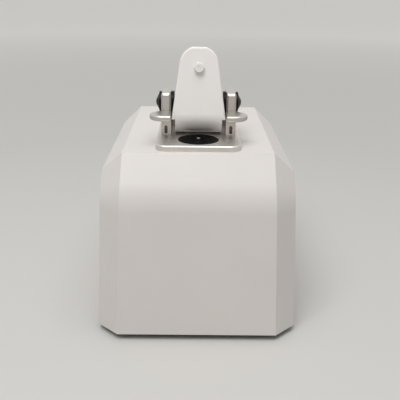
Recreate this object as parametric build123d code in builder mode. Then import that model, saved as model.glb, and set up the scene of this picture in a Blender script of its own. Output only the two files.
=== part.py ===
from build123d import *
from math import cos, radians, sin, sqrt, tan
import os

# Microvolume spectrophotometer: a bench instrument that reads a drop held between two fibre
# ends. It has a bevelled moulded housing, a steel stage with the lower pedestal, a hinged arm
# with the upper pedestal, a cuvette well behind the hinge, and the optics inside.
# Millimetres, +Z up. The front faces -Y. The origin is on the bench, under the middle.

os.makedirs("parts", exist_ok=True)

# Housing
body_width = 140.0
body_depth = 200.0
body_height = 125.3
foot_height = 4.5
side_draft = 2.1
front_draft = 2.7
bevel = 14.5
wall = 3.0
shoulder_drop = 37.6
shoulder_radius = 41.0
shoulder_turn = 30.0

# Stage on top of the housing
stage_width = 58.5
stage_setback = 24.5
stage_rear_margin = 20.5
stage_thickness = 4.0
stage_corner = 8.0
stage_edge_round = 1.2
blind_cap = 1.0

# Pedestals, behind the stage's front edge
pedestal_setback = 18.5
disc_radius = 14.2
disc_thickness = 1.6
disc_proud = 0.3
disc_chamfer = 0.25
pedestal_radius = 1.7
pedestal_height = 1.6
pedestal_chamfer = 0.3
pedestal_bush_radius = 4.5
pedestal_bush_drop = 2.0
ferrule_radius = 0.9
fibre_radius = 0.45

# Hinge, placed by the arm, which reaches past the pedestals by its tip margin
hinge_above_stage = 22.2
hinge_gap = 19.5
yoke_width = 7.0
yoke_ahead = 9.0
yoke_depth = 27.0
yoke_height = 17.6
wing_thickness = 4.0
wing_radius = 9.3
wing_centre_x = 24.5
wing_ahead = 20.5
wing_edge_round = 1.4
yoke_web_thickness = 5.0
hub_clearance = 1.0
slot_width = 2.2
slot_height = 5.8
slot_depth = 2.2
slot_x = 23.1
slot_rise = 0.8
block_height = 11.8
block_round = 3.2
block_chamfer = 1.4
block_screw_cap = 2.0
pin_radius = 3.0
pin_inner_x = 8.5
pin_knob_grip = 2.2
pin_chamfer = 0.4
running_clearance = 0.03
washer_radius = 7.5
washer_inner_x = 17.2
washer_play = 0.15
washer_seat_gap = 0.4
knob_radius = 7.25
knob_flange = 1.5
knob_cone = 2.3
knob_cone_radius = 6.2
knob_nose_radius = 1.6
hinge_screw_front = 4.2
hinge_screw_rear = 5.0

# Arm, laid out along its own length from the hinge
open_angle = 100.0
arm_tip_reach = 37.2
arm_tip_margin = 14.2
arm_tip_half_width = 4.8
arm_neck_reach = 26.5
arm_neck_half_width = 13.6
arm_tip_round = 1.0
arm_shoulder_back = 12.5
arm_shoulder_half_width = 18.9
face_offset = 16.5
arm_back_offset = 8.0
arm_back_flat = 4.0
tip_thickness = 10.5
hub_radius = 21.5
hub_half_width = 16.4
arm_wall = 2.0
arm_parting = 3.0
arm_edge_round = 1.5
core_radius = 5.8
core_clearance = 0.4
beam_overhang = 3.0
beam_half_width = 5.0
beam_thickness = 4.0
bush_radius = 4.4
bush_length = 5.5
arm_bore_clearance = 0.6
core_post_offset = 1.0
cover_post_reach = -12.5
cover_post_x = 10.4
arm_post_radius = 2.4
cover_post_top = 13.2
arm_screw_radius = 1.0
arm_screw_head_radius = 1.9
arm_screw_head_height = 1.1
arm_screw_bite = 6.0
upper_travel = 1.0
upper_radius = 3.4
upper_stem_radius = 1.6
upper_head_height = 4.6
upper_chamfer = 0.4
actuator_radius = 6.0
actuator_height = 5.0
actuator_floor = 0.4
closed_sample_gap = 0.9

# Cuvette well
well_behind = 42.0
well_side = 12.6
well_depth = 42.0
well_wall = 4.0
well_flange = 3.0
well_flange_thickness = 1.2
well_corner = 1.0
well_flange_corner = 2.0
well_flange_chamfer = 0.4
light_hole_radius = 2.2
light_hole_height = 8.5

# Base and inside
pan_thickness = 2.5
pan_gap = 0.3
foot_radius = 8.0
foot_taper = 1.5
foot_inset_x = 21.0
foot_inset_y = 21.0
screw_radius = 1.5
screw_clearance = 0.05
screw_head_radius = 2.8
screw_head_height = 1.6
screw_bite = 8.0
boss_radius = 4.5
boss_height = 20.0
boss_overlap = 0.9
boss_setback = 40.0
bench_side_gap = 22.0
bench_front_gap = 20.0
bench_rear_gap = 48.0
bench_thickness = 6.0
bench_corner = 6.0
bench_post_radius = 4.0
bench_post_height = 12.0
bench_post_inset = 8.0
spectrometer_side_gap = 11.0
spectrometer_front_gap = 3.0
spectrometer_share = 0.47
spectrometer_height = 30.0
spectrometer_lid = 3.0
spectrometer_corner = 3.0
spectrometer_lid_chamfer = 0.8
lamp_width = 30.0
lamp_share = 0.29
lamp_height = 32.0
lamp_rear_gap = 7.0
lamp_fins = 7
lamp_fin_depth = 3.0
lens_radius = 5.0
lens_length = 4.0
lens_round = 1.0
board_side_gap = 30.0
board_depth = 30.0
board_thickness = 1.6
board_rear_gap = 8.0
board_corner = 2.0
board_hole_inset = 4.0
standoff_height = 8.0
standoff_radius = 2.6
stage_screw_x = 22.0
stage_screw_inset = 7.0

# Sockets in the back
usb_x = -22.0
usb_width = 12.0
usb_height = 10.8
usb_depth = 15.0
usb_shell = 0.8
usb_tongue_width = 5.6
usb_tongue_height = 3.2
power_x = 18.0
power_width = 11.0
power_bore = 3.1
power_pin_radius = 1.0
power_depth = 12.0
socket_gap = 0.2
socket_inset = 0.6
socket_back = 2.0

# Worked out from the sizes above
half_width = body_width / 2
sides = (("left", -1), ("right", 1))
front_y = -body_depth / 2
rear_y = body_depth / 2
floor_z = foot_height
top_z = foot_height + body_height
stage_z = top_z + stage_thickness
stage_front = front_y + stage_setback
pedestal_y = stage_front + pedestal_setback
pedestal_reach = arm_tip_reach - arm_tip_margin
hinge_y = pedestal_y + pedestal_reach
hinge_z = stage_z + hinge_above_stage
yoke_front = hinge_y - yoke_ahead
wing_centre_y = hinge_y - wing_ahead
well_y = hinge_y + well_behind
stage_rear = well_y + stage_rear_margin
stage_depth = stage_rear - stage_front
stage_y = (stage_front + stage_rear) / 2
yoke_top = stage_z + yoke_height
yoke_rear = yoke_front + yoke_depth
yoke_y = (yoke_front + yoke_rear) / 2
yoke_x = hinge_gap + yoke_width / 2
yoke_outer = hinge_gap + yoke_width
lean = radians(open_angle - 90.0)
arm_up = Vector(0, sin(lean), cos(lean))
arm_out = Vector(0, -cos(lean), sin(lean))
hinge_point = Vector(0, hinge_y, hinge_z)
core_post_reach = (pedestal_reach - core_post_offset) / 2
beam_reach = pedestal_reach + beam_overhang
pedestal_top = stage_z + pedestal_height
upper_proud = hinge_z - face_offset - pedestal_top - closed_sample_gap
inside_roof = top_z - wall
pan_top = floor_z + pan_thickness
screw_hole = screw_radius + screw_clearance
boss_y = rear_y - boss_setback
bench_width = body_width - 2 * bench_side_gap
bench_front = front_y + bench_front_gap
bench_rear = rear_y - bench_rear_gap
bench_depth = bench_rear - bench_front
bench_y = (bench_front + bench_rear) / 2
bench_z = pan_top + bench_post_height
bench_top = bench_z + bench_thickness
spectrometer_width = bench_width - 2 * spectrometer_side_gap
spectrometer_depth = bench_depth * spectrometer_share
spectrometer_y = bench_front + spectrometer_front_gap + spectrometer_depth / 2
lamp_depth = bench_depth * lamp_share
lamp_y = bench_rear - lamp_rear_gap - lamp_depth / 2
board_width = body_width - 2 * board_side_gap
board_y = rear_y - board_rear_gap - board_depth / 2
board_z = pan_top + standoff_height
board_top = board_z + board_thickness
rear_slope = tan(radians(side_draft))
well_outer = well_side + 2 * well_wall
well_bottom = stage_z - well_depth
well_floor = well_bottom + well_wall

# Side view of the arm: x runs towards its tip and y out of the face that comes down on the drop
arm_side = Plane(origin=hinge_point, x_dir=arm_up, z_dir=(1, 0, 0))


def face_plane(offset):
    """Plane across the arm, this far out of the hinge axis towards its working face."""
    return Plane(origin=hinge_point + arm_out * offset, x_dir=(1, 0, 0), z_dir=arm_out)


def save(piece, name):
    """Label a finished piece and write it as its own file."""
    piece.label = name
    export_step(piece, f"parts/{name}.step")


def body_form(inset):
    """The bevelled body, drawn in from its outside by a wall."""
    base = floor_z
    lower_front = front_y + inset
    straight_top = top_z - shoulder_drop
    draft = radians(front_draft)
    turn = radians(front_draft + shoulder_turn)
    radius = shoulder_radius - inset
    roof = top_z - inset
    start_y = lower_front + (straight_top - base) * tan(draft)
    centre_y = start_y + radius * cos(draft)
    centre_z = straight_top - radius * sin(draft)
    end_y = centre_y - radius * cos(turn)
    end_z = centre_z + radius * sin(turn)
    half_y = centre_y - radius * cos((draft + turn) / 2)
    half_z = centre_z + radius * sin((draft + turn) / 2)
    crease_y = end_y + (roof - end_z) * tan(turn)
    back_y = rear_y - inset
    back_lean = body_height * tan(radians(side_draft))
    with BuildPart() as form:
        with BuildSketch(Plane.YZ):
            with BuildLine():
                Line((lower_front, base), (start_y, straight_top))
                ThreePointArc((start_y, straight_top), (half_y, half_z), (end_y, end_z))
                Polyline(
                    (end_y, end_z),
                    (crease_y, roof),
                    (back_y - back_lean, roof),
                    (back_y, base),
                    (lower_front, base),
                )
            make_face()
        extrude(amount=body_width, both=True)
        side = half_width - inset
        narrow = body_height * tan(radians(side_draft))
        with BuildSketch(Plane.XZ.offset(-body_depth)):
            with BuildLine():
                Polyline(
                    (-side, base),
                    (side, base),
                    (side - narrow, top_z),
                    (narrow - side, top_z),
                    close=True,
                )
            make_face()
        extrude(amount=2 * body_depth, mode=Mode.INTERSECT)
        rim = form.edges().group_by(Axis.Z)[0]
        roof_edges = form.faces().sort_by(Axis.Z)[-1].edges()
        crease = roof_edges.sort_by(Axis.Y)[0]
        flanks = form.faces().sort_by(Axis.X)[0].edges() + form.faces().sort_by(Axis.X)[-1].edges()
        back_top = roof_edges.sort_by(Axis.Y)[-1]
        bevelled = [edge for edge in flanks + [back_top] if edge not in rim and edge != crease]
        chamfer(bevelled, length=bevel - inset * (2 - sqrt(2)))
    return form.part


def straight_screws(places, plane_z, head_down, shank):
    """Pan-head screws that all point up or down from one level, one solid each."""
    direction = -1 if head_down else 1
    with BuildPart() as screws:
        for x, y in places:
            with BuildSketch(Plane.XY.offset(plane_z)):
                with Locations((x, y)):
                    Circle(screw_head_radius)
            extrude(amount=direction * screw_head_height)
            with BuildSketch(Plane.XY.offset(plane_z)):
                with Locations((x, y)):
                    Circle(screw_radius)
            extrude(amount=-direction * shank)
    return screws.part


# Places that several pieces share
boss_x = half_width - wall + boss_overlap - boss_radius - boss_height * tan(radians(side_draft))
boss_places = [(i * boss_x, j * boss_y) for i in (-1, 1) for j in (-1, 1)]
foot_places = [
    (i * (half_width - foot_inset_x), j * (rear_y - foot_inset_y)) for i in (-1, 1) for j in (-1, 1)
]
stage_screw_places = [
    (i * stage_screw_x, y)
    for i in (-1, 1)
    for y in (stage_front + stage_screw_inset, stage_rear - stage_screw_inset)
]
hinge_screw_places = [
    (i * yoke_x, y)
    for i in (-1, 1)
    for y in (yoke_front + hinge_screw_front, yoke_rear - hinge_screw_rear)
]
bench_post_places = [
    (i * (bench_width / 2 - bench_post_inset), bench_y + j * (bench_depth / 2 - bench_post_inset))
    for i in (-1, 1)
    for j in (-1, 1)
]
board_hole_places = [
    (i * (board_width / 2 - board_hole_inset), board_y + j * (board_depth / 2 - board_hole_inset))
    for i in (-1, 1)
    for j in (-1, 1)
]

# Housing: one moulded shell, open underneath, with screw bosses on its side walls
with BuildPart() as housing:
    add(body_form(0.0))
    add(body_form(wall), mode=Mode.SUBTRACT)
    with BuildSketch(Plane.XY.offset(pan_top)):
        with Locations(*boss_places):
            Circle(boss_radius)
    extrude(amount=boss_height)
    with BuildSketch(Plane.XY.offset(pan_top)):
        with Locations(*boss_places):
            Circle(screw_hole)
    extrude(amount=screw_bite + screw_clearance, mode=Mode.SUBTRACT)
    with BuildSketch(Plane.XY.offset(top_z)):
        with Locations(*stage_screw_places, *hinge_screw_places):
            Circle(screw_hole)
        with Locations((0, pedestal_y)):
            Circle(pedestal_bush_radius + screw_clearance)
        with Locations((0, well_y)):
            Rectangle(well_outer + 2 * socket_gap, well_outer + 2 * socket_gap)
    extrude(amount=-2 * wall, mode=Mode.SUBTRACT)
    with BuildSketch(Plane.XZ.offset(-rear_y)):
        with Locations((power_x, board_top + power_width / 2)):
            Rectangle(power_width + 2 * socket_gap, power_width + 2 * socket_gap)
        with Locations((usb_x, board_top + usb_height / 2)):
            Rectangle(usb_width + 2 * socket_gap, usb_height + 2 * socket_gap)
    extrude(amount=3 * wall, mode=Mode.SUBTRACT)
save(housing.part, "housing")

# Base pan: closes the shell from below
with BuildPart() as base_pan:
    add(body_form(wall + pan_gap))
    split(bisect_by=Plane.XY.offset(pan_top), keep=Keep.BOTTOM)
    with BuildSketch(Plane.XY.offset(floor_z)):
        with Locations(*boss_places, *bench_post_places, *board_hole_places):
            Circle(screw_hole)
    extrude(amount=pan_thickness, mode=Mode.SUBTRACT)
    with BuildSketch(Plane.XY.offset(floor_z)):
        with Locations(*boss_places, *bench_post_places, *board_hole_places):
            Circle(screw_head_radius + screw_clearance)
    extrude(amount=screw_head_height, mode=Mode.SUBTRACT)
save(base_pan.part, "base_pan")

with BuildPart() as feet:
    with BuildSketch():
        with Locations(*foot_places):
            Circle(foot_radius)
    extrude(amount=foot_height)
    chamfer(feet.edges().group_by(Axis.Z)[0], length=foot_taper)
save(feet.part, "rubber_feet")

pan_screw_seat = floor_z + screw_head_height
pan_screw_length = pan_thickness - screw_head_height + screw_bite
base_screws = straight_screws(boss_places, pan_screw_seat, True, pan_screw_length)
save(base_screws, "base_screws")

# Stage: polished steel plate on the roof, recessed for the disc
with BuildPart() as stage_plate:
    with BuildSketch(Plane.XY.offset(top_z)):
        with Locations((0, stage_y)):
            RectangleRounded(stage_width, stage_depth, stage_corner)
    extrude(amount=stage_thickness)
    fillet(stage_plate.faces().sort_by(Axis.Z)[-1].edges(), radius=stage_edge_round)
    with BuildSketch(Plane.XY.offset(stage_z)):
        with Locations((0, pedestal_y)):
            Circle(disc_radius + screw_clearance)
    extrude(amount=disc_proud - disc_thickness, mode=Mode.SUBTRACT)
    with BuildSketch(Plane.XY.offset(stage_z)):
        with Locations((0, pedestal_y)):
            Circle(pedestal_bush_radius + screw_clearance)
        with Locations(*hinge_screw_places):
            Circle(screw_hole)
        with Locations((0, well_y)):
            Rectangle(well_outer + 2 * socket_gap, well_outer + 2 * socket_gap)
    extrude(amount=-stage_thickness, mode=Mode.SUBTRACT)
    with BuildSketch(Plane.XY.offset(top_z)):
        with Locations(*stage_screw_places):
            Circle(screw_hole)
    extrude(amount=stage_thickness - blind_cap - 2 * screw_clearance, mode=Mode.SUBTRACT)
save(stage_plate.part, "stage_plate")

stage_screw_reach = wall + stage_thickness - blind_cap - 4 * screw_clearance
save(straight_screws(stage_screw_places, inside_roof, True, stage_screw_reach), "stage_screws")

with BuildPart() as pedestal_disc:
    with BuildSketch(Plane.XY.offset(stage_z + disc_proud)):
        with Locations((0, pedestal_y)):
            Circle(disc_radius)
            Circle(pedestal_radius + screw_clearance, mode=Mode.SUBTRACT)
    extrude(amount=-disc_thickness)
    chamfer(pedestal_disc.edges().group_by(Axis.Z)[-1].sort_by(SortBy.LENGTH)[-1], length=disc_chamfer)
save(pedestal_disc.part, "pedestal_disc")

# Lower pedestal: stem with a collar under the disc, bored for the fibre's ferrule
collar_top = stage_z + disc_proud - disc_thickness
collar_bottom = inside_roof - pedestal_bush_drop
pedestal_axis = Plane(origin=(0, pedestal_y, 0), x_dir=(1, 0, 0), z_dir=(0, -1, 0))
with BuildPart() as lower_pedestal:
    with BuildSketch(pedestal_axis):
        with BuildLine():
            Polyline(
                (ferrule_radius + screw_clearance, collar_bottom),
                (pedestal_bush_radius, collar_bottom),
                (pedestal_bush_radius, collar_top),
                (pedestal_radius, collar_top),
                (pedestal_radius, pedestal_top - pedestal_chamfer),
                (pedestal_radius - pedestal_chamfer, pedestal_top),
                (ferrule_radius + screw_clearance, pedestal_top),
                close=True,
            )
        make_face()
    revolve(axis=Axis((0, pedestal_y, 0), (0, 0, 1)))
save(lower_pedestal.part, "lower_pedestal")

with BuildPart() as lower_ferrule:
    with BuildSketch(Plane.XY.offset(pedestal_top)):
        with Locations((0, pedestal_y)):
            Circle(ferrule_radius)
    extrude(amount=collar_bottom - pedestal_top)
save(lower_ferrule.part, "lower_ferrule")

spectrometer_top = bench_top + spectrometer_height
with BuildPart() as lower_fibre:
    with BuildSketch(Plane.XY.offset(spectrometer_top)):
        with Locations((0, pedestal_y)):
            Circle(fibre_radius)
    extrude(amount=collar_bottom - spectrometer_top)
save(lower_fibre.part, "lower_fibre")

# Hinge yoke: two towers with wings, joined by a web behind the arm's hub
web_front = hinge_y + hub_radius + hub_clearance
with BuildPart() as hinge_yoke:
    with BuildSketch(Plane.XY.offset(stage_z)):
        for name, side in sides:
            with Locations((side * yoke_x, yoke_y)):
                Rectangle(yoke_width, yoke_depth)
            with Locations((side * yoke_x, (yoke_rear + web_front + yoke_web_thickness) / 2)):
                Rectangle(yoke_width, web_front + yoke_web_thickness - yoke_rear)
        with Locations((0, web_front + yoke_web_thickness / 2)):
            Rectangle(2 * yoke_outer, yoke_web_thickness)
    extrude(amount=yoke_height - wing_thickness)
    with BuildSketch(Plane.XY.offset(yoke_top - wing_thickness)):
        for name, side in sides:
            with Locations((side * wing_centre_x, wing_centre_y)):
                Circle(wing_radius)
            with Locations((side * (hinge_gap + wing_centre_x) / 2, wing_centre_y)):
                Rectangle(wing_centre_x - hinge_gap, 2 * wing_radius)
            with Locations((side * yoke_x, (wing_centre_y + yoke_rear) / 2)):
                Rectangle(yoke_width, yoke_rear - wing_centre_y)
        with Locations((0, wing_centre_y)):
            Rectangle(2 * hinge_gap, 4 * wing_radius, mode=Mode.SUBTRACT)
    extrude(amount=wing_thickness)
    wing_rims = hinge_yoke.edges().filter_by(GeomType.CIRCLE).filter_by(
        lambda edge: abs(edge.radius - wing_radius) < 0.01
    )
    fillet(wing_rims, radius=wing_edge_round)
    with BuildSketch(Plane.XZ.offset(-yoke_front)):
        for name, side in sides:
            with Locations((side * slot_x, stage_z + slot_rise + slot_height / 2)):
                SlotOverall(slot_height, slot_width, rotation=90)
    extrude(amount=-slot_depth, mode=Mode.SUBTRACT)
    with BuildSketch(Plane.XY.offset(stage_z)):
        with Locations(*hinge_screw_places):
            Circle(screw_hole)
    extrude(amount=yoke_height, mode=Mode.SUBTRACT)
save(hinge_yoke.part, "hinge_yoke")

block_screw_end = block_height - block_screw_cap
for name, side in sides:
    with BuildPart() as block:
        with BuildSketch(Plane.XY.offset(yoke_top)):
            with Locations((side * yoke_x, yoke_y)):
                Rectangle(yoke_width, yoke_depth)
        extrude(amount=block_height)
        rear_uprights = block.edges().filter_by(Axis.Z).group_by(Axis.Y)[-1]
        fillet(rear_uprights, radius=block_round)
        top_rear = block.faces().sort_by(Axis.Z)[-1].edges().filter_by(GeomType.CIRCLE)
        fillet(top_rear, radius=block_round / 2)
        front_outer = block.edges().filter_by(Axis.Z).group_by(Axis.Y)[0].sort_by(Axis.X)
        chamfer(front_outer[-1] if side > 0 else front_outer[0], length=block_chamfer)
        with BuildSketch(Plane.YZ.offset(side * yoke_x - yoke_width)):
            with Locations((hinge_y, hinge_z)):
                Circle(pin_radius + running_clearance)
        extrude(amount=2 * yoke_width, mode=Mode.SUBTRACT)
        with BuildSketch(Plane.XY.offset(yoke_top)):
            with Locations(*hinge_screw_places):
                Circle(screw_hole)
        extrude(amount=block_screw_end, mode=Mode.SUBTRACT)
    save(block.part, f"hinge_block_{name}")

    def across(x):
        """Plane square to the hinge axis at this distance out on this side."""
        return Plane(origin=(side * x, hinge_y, hinge_z), x_dir=(0, side, 0), z_dir=(side, 0, 0))

    with BuildPart() as pin:
        with BuildSketch(across(pin_inner_x)):
            Circle(pin_radius)
        extrude(amount=yoke_outer + pin_knob_grip - pin_inner_x)
        chamfer(pin.edges(), length=pin_chamfer)
    save(pin.part, f"pivot_pin_{name}")

    with BuildPart() as washer:
        with BuildSketch(across(washer_inner_x + washer_play)):
            Circle(washer_radius)
            Circle(pin_radius + running_clearance, mode=Mode.SUBTRACT)
        extrude(amount=hinge_gap - washer_inner_x - washer_play)
    save(washer.part, f"hinge_washer_{name}")

    with BuildPart() as knob:
        with BuildSketch(across(yoke_outer)):
            Circle(knob_radius)
        extrude(amount=knob_flange)
        with BuildSketch(across(yoke_outer + knob_flange)):
            Circle(knob_cone_radius)
        with BuildSketch(across(yoke_outer + knob_flange + knob_cone)):
            Circle(knob_nose_radius)
        loft()
        with BuildSketch(across(yoke_outer)):
            Circle(pin_radius + running_clearance)
        extrude(amount=pin_knob_grip + screw_clearance, mode=Mode.SUBTRACT)
    save(knob.part, f"hinge_knob_{name}")

hinge_screw_reach = wall + stage_thickness + yoke_height + block_screw_end - 2 * screw_clearance
save(straight_screws(hinge_screw_places, inside_roof, True, hinge_screw_reach), "hinge_screws")


def arm_form(inset):
    """The arm's closed outside, drawn in by a wall: side view crossed with its plan."""
    face_end = -sqrt(hub_radius**2 - face_offset**2)
    back_end = -sqrt(hub_radius**2 - arm_back_offset**2)
    with BuildPart() as form:
        with BuildSketch(arm_side):
            with BuildLine():
                Line((arm_tip_reach, face_offset), (face_end, face_offset))
                ThreePointArc((face_end, face_offset), (-hub_radius, 0), (back_end, -arm_back_offset))
                Line((back_end, -arm_back_offset), (arm_back_flat, -arm_back_offset))
                TangentArc(
                    (arm_back_flat, -arm_back_offset),
                    (arm_tip_reach, face_offset - tip_thickness),
                    tangent=(1, 0),
                )
                Line((arm_tip_reach, face_offset - tip_thickness), (arm_tip_reach, face_offset))
            make_face()
            if inset:
                offset(amount=-inset, mode=Mode.REPLACE)
        extrude(amount=body_width, both=True)
        with BuildSketch(face_plane(0)) as plan:
            with BuildLine():
                Line((0, arm_tip_reach), (arm_tip_half_width, arm_tip_reach))
                TangentArc(
                    (arm_neck_half_width, arm_neck_reach),
                    (arm_tip_half_width, arm_tip_reach),
                    tangent=(
                        arm_neck_half_width - arm_shoulder_half_width,
                        arm_neck_reach + arm_shoulder_back,
                    ),
                )
                Polyline(
                    (arm_neck_half_width, arm_neck_reach),
                    (arm_shoulder_half_width, -arm_shoulder_back),
                    (hub_half_width, -arm_shoulder_back),
                    (hub_half_width, -hub_radius),
                    (0, -hub_radius),
                )
                mirror(about=Plane.YZ)
            make_face()
            tip_corners = plan.vertices().group_by(Axis.Y)[-1].sort_by(Axis.X)
            fillet([tip_corners[0], tip_corners[-1]], radius=arm_tip_round)
            if inset:
                offset(amount=-inset, mode=Mode.REPLACE)
        extrude(amount=body_depth, both=True, mode=Mode.INTERSECT)
    return form.part


def arm_posts(places, bottom, top, radius):
    """Round posts that stand across the arm, from one level to another."""
    with BuildPart() as posts:
        with BuildSketch(face_plane(bottom)):
            with Locations(*places):
                Circle(radius)
        extrude(amount=top - bottom)
    return posts.part


cover_post_places = [(i * cover_post_x, cover_post_reach) for i in (-1, 1)]
core_post_place = [(0, core_post_reach)]
inner_face = face_offset - arm_wall
arm_screw_hole = arm_screw_radius + screw_clearance
washer_seat = washer_radius + washer_seat_gap
pin_bore = pin_radius + arm_bore_clearance

# Room in the arm for the pins, and flat seats for the washers on both its sides
with BuildPart() as hinge_seats:
    with BuildSketch(arm_side.offset(-body_width / 2)):
        Circle(pin_bore)
    extrude(amount=body_width)
    for name, side in sides:
        with BuildSketch(arm_side.offset(side * washer_inner_x)):
            Circle(washer_seat)
        extrude(amount=side * hub_radius)

# Arm tray: the pale face that comes down over the stage, with posts for the cover and core
with BuildPart() as arm_tray:
    add(arm_form(0.0))
    face_rim = arm_tray.faces().sort_by(Axis(hinge_point, arm_out))[-1].edges()
    fillet(face_rim, radius=arm_edge_round)
    add(arm_form(arm_wall), mode=Mode.SUBTRACT)
    split(bisect_by=face_plane(arm_parting), keep=Keep.TOP)
    add(arm_posts(cover_post_places, arm_parting, cover_post_top, arm_post_radius))
    add(arm_posts(core_post_place, beam_thickness, inner_face, arm_post_radius))
    add(hinge_seats.part, mode=Mode.SUBTRACT)
    add(
        arm_posts(cover_post_places, arm_parting, arm_parting + arm_screw_bite, arm_screw_hole),
        mode=Mode.SUBTRACT,
    )
    add(
        arm_posts(core_post_place, beam_thickness, beam_thickness + arm_screw_bite, arm_screw_hole),
        mode=Mode.SUBTRACT,
    )
    add(
        arm_posts([(0, pedestal_reach)], inner_face - 1, face_offset + 1, upper_radius + screw_clearance),
        mode=Mode.SUBTRACT,
    )
save(arm_tray.part, "arm_tray")

# Arm cover: the outer shell that closes the tray
with BuildPart() as arm_cover:
    add(arm_form(0.0))
    add(arm_form(arm_wall), mode=Mode.SUBTRACT)
    split(bisect_by=face_plane(arm_parting), keep=Keep.BOTTOM)
    add(arm_posts(cover_post_places, -arm_back_offset + arm_wall / 2, arm_parting, arm_post_radius))
    add(hinge_seats.part, mode=Mode.SUBTRACT)
    add(
        arm_posts(cover_post_places, -arm_back_offset, arm_parting, arm_screw_hole),
        mode=Mode.SUBTRACT,
    )
    add(
        arm_posts(
            cover_post_places,
            -arm_back_offset,
            -arm_back_offset + arm_screw_head_height,
            arm_screw_head_radius + screw_clearance,
        ),
        mode=Mode.SUBTRACT,
    )
save(arm_cover.part, "arm_cover")


def arm_screws(places, seat, reach):
    """Screws across the arm with their heads behind this level."""
    with BuildPart() as screws:
        add(arm_posts(places, seat - arm_screw_head_height, seat, arm_screw_head_radius))
        add(arm_posts(places, seat, reach, arm_screw_radius))
    return screws.part


cover_screw_seat = -arm_back_offset + arm_screw_head_height
cover_screw_end = arm_parting + arm_screw_bite - screw_clearance
save(arm_screws(cover_post_places, cover_screw_seat, cover_screw_end), "arm_cover_screws")
core_screw_end = beam_thickness + arm_screw_bite - screw_clearance
save(arm_screws(core_post_place, 0, core_screw_end), "arm_core_screw")

# Core: cast barrel on the pins with a beam that carries the actuator
core_half = hub_half_width - arm_wall - core_clearance
with BuildPart() as arm_core:
    with BuildSketch(arm_side.offset(-core_half)):
        Circle(core_radius)
    extrude(amount=2 * core_half)
    with BuildSketch(face_plane(0)):
        with Locations((0, beam_reach / 2)):
            Rectangle(2 * beam_half_width, beam_reach)
    extrude(amount=beam_thickness)
    for name, side in sides:
        with BuildSketch(arm_side.offset(side * core_half)):
            Circle(bush_radius + running_clearance)
        extrude(amount=-side * bush_length, mode=Mode.SUBTRACT)
    add(
        arm_posts(core_post_place, -core_radius, beam_thickness, arm_screw_hole),
        mode=Mode.SUBTRACT,
    )
save(arm_core.part, "arm_core")

for name, side in sides:
    with BuildPart() as bush:
        with BuildSketch(arm_side.offset(side * core_half)):
            Circle(bush_radius)
            Circle(pin_radius + running_clearance, mode=Mode.SUBTRACT)
        extrude(amount=-side * bush_length)
    save(bush.part, f"hinge_bush_{name}")

# Upper pedestal: slides in its actuator to set the length of the light path
actuator_top = beam_thickness + actuator_height
upper_top = face_offset + upper_proud
upper_bottom = upper_top - upper_head_height
stem_end = beam_thickness + actuator_floor + upper_travel + running_clearance
upper_place = [(0, pedestal_reach)]
with BuildPart() as path_actuator:
    add(arm_posts(upper_place, beam_thickness, actuator_top, actuator_radius))
    add(
        arm_posts(
            upper_place,
            beam_thickness + actuator_floor,
            actuator_top,
            upper_stem_radius + running_clearance,
        ),
        mode=Mode.SUBTRACT,
    )
save(path_actuator.part, "path_actuator")

with BuildPart() as upper_pedestal:
    add(arm_posts(upper_place, upper_bottom, upper_top, upper_radius))
    chamfer(upper_pedestal.edges().sort_by(Axis(hinge_point, arm_out))[-1], length=upper_chamfer)
    add(arm_posts(upper_place, stem_end, upper_bottom, upper_stem_radius))
    add(
        arm_posts(upper_place, upper_bottom, upper_top, ferrule_radius + screw_clearance),
        mode=Mode.SUBTRACT,
    )
save(upper_pedestal.part, "upper_pedestal")

save(arm_posts(upper_place, upper_bottom, upper_top, ferrule_radius), "upper_ferrule")

# Cuvette well: a square black holder let down through the stage, crossed by a light path
with BuildPart() as cuvette_holder:
    with BuildSketch(Plane.XY.offset(well_bottom)):
        with Locations((0, well_y)):
            RectangleRounded(well_outer, well_outer, well_corner)
    extrude(amount=well_depth)
    with BuildSketch(Plane.XY.offset(stage_z)):
        with Locations((0, well_y)):
            RectangleRounded(well_outer + 2 * well_flange, well_outer + 2 * well_flange, well_flange_corner)
    extrude(amount=well_flange_thickness)
    chamfer(cuvette_holder.faces().sort_by(Axis.Z)[-1].edges(), length=well_flange_chamfer)
    with BuildSketch(Plane.XY.offset(stage_z + well_flange_thickness)):
        with Locations((0, well_y)):
            Rectangle(well_side, well_side)
    extrude(amount=well_floor - stage_z - well_flange_thickness, mode=Mode.SUBTRACT)
    with BuildSketch(Plane.YZ.offset(-well_outer)):
        with Locations((well_y, well_floor + light_hole_height)):
            Circle(light_hole_radius)
    extrude(amount=2 * well_outer, mode=Mode.SUBTRACT)
save(cuvette_holder.part, "cuvette_holder")

# Optical bench on four posts, with the spectrometer under the lower pedestal and the lamp behind
with BuildPart() as optical_bench:
    with BuildSketch(Plane.XY.offset(bench_z)):
        with Locations((0, bench_y)):
            RectangleRounded(bench_width, bench_depth, bench_corner)
    extrude(amount=bench_thickness)
    with BuildSketch(Plane.XY.offset(pan_top)):
        with Locations(*bench_post_places):
            Circle(bench_post_radius)
    extrude(amount=bench_post_height)
    with BuildSketch(Plane.XY.offset(pan_top)):
        with Locations(*bench_post_places):
            Circle(screw_hole)
    extrude(amount=screw_bite + screw_clearance, mode=Mode.SUBTRACT)
save(optical_bench.part, "optical_bench")
bench_screws = straight_screws(bench_post_places, pan_screw_seat, True, pan_screw_length)
save(bench_screws, "bench_screws")

with BuildPart() as spectrometer:
    with BuildSketch(Plane.XY.offset(bench_top)):
        with Locations((0, spectrometer_y)):
            RectangleRounded(spectrometer_width, spectrometer_depth, spectrometer_corner)
    extrude(amount=spectrometer_height - spectrometer_lid)
save(spectrometer.part, "spectrometer")

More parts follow.
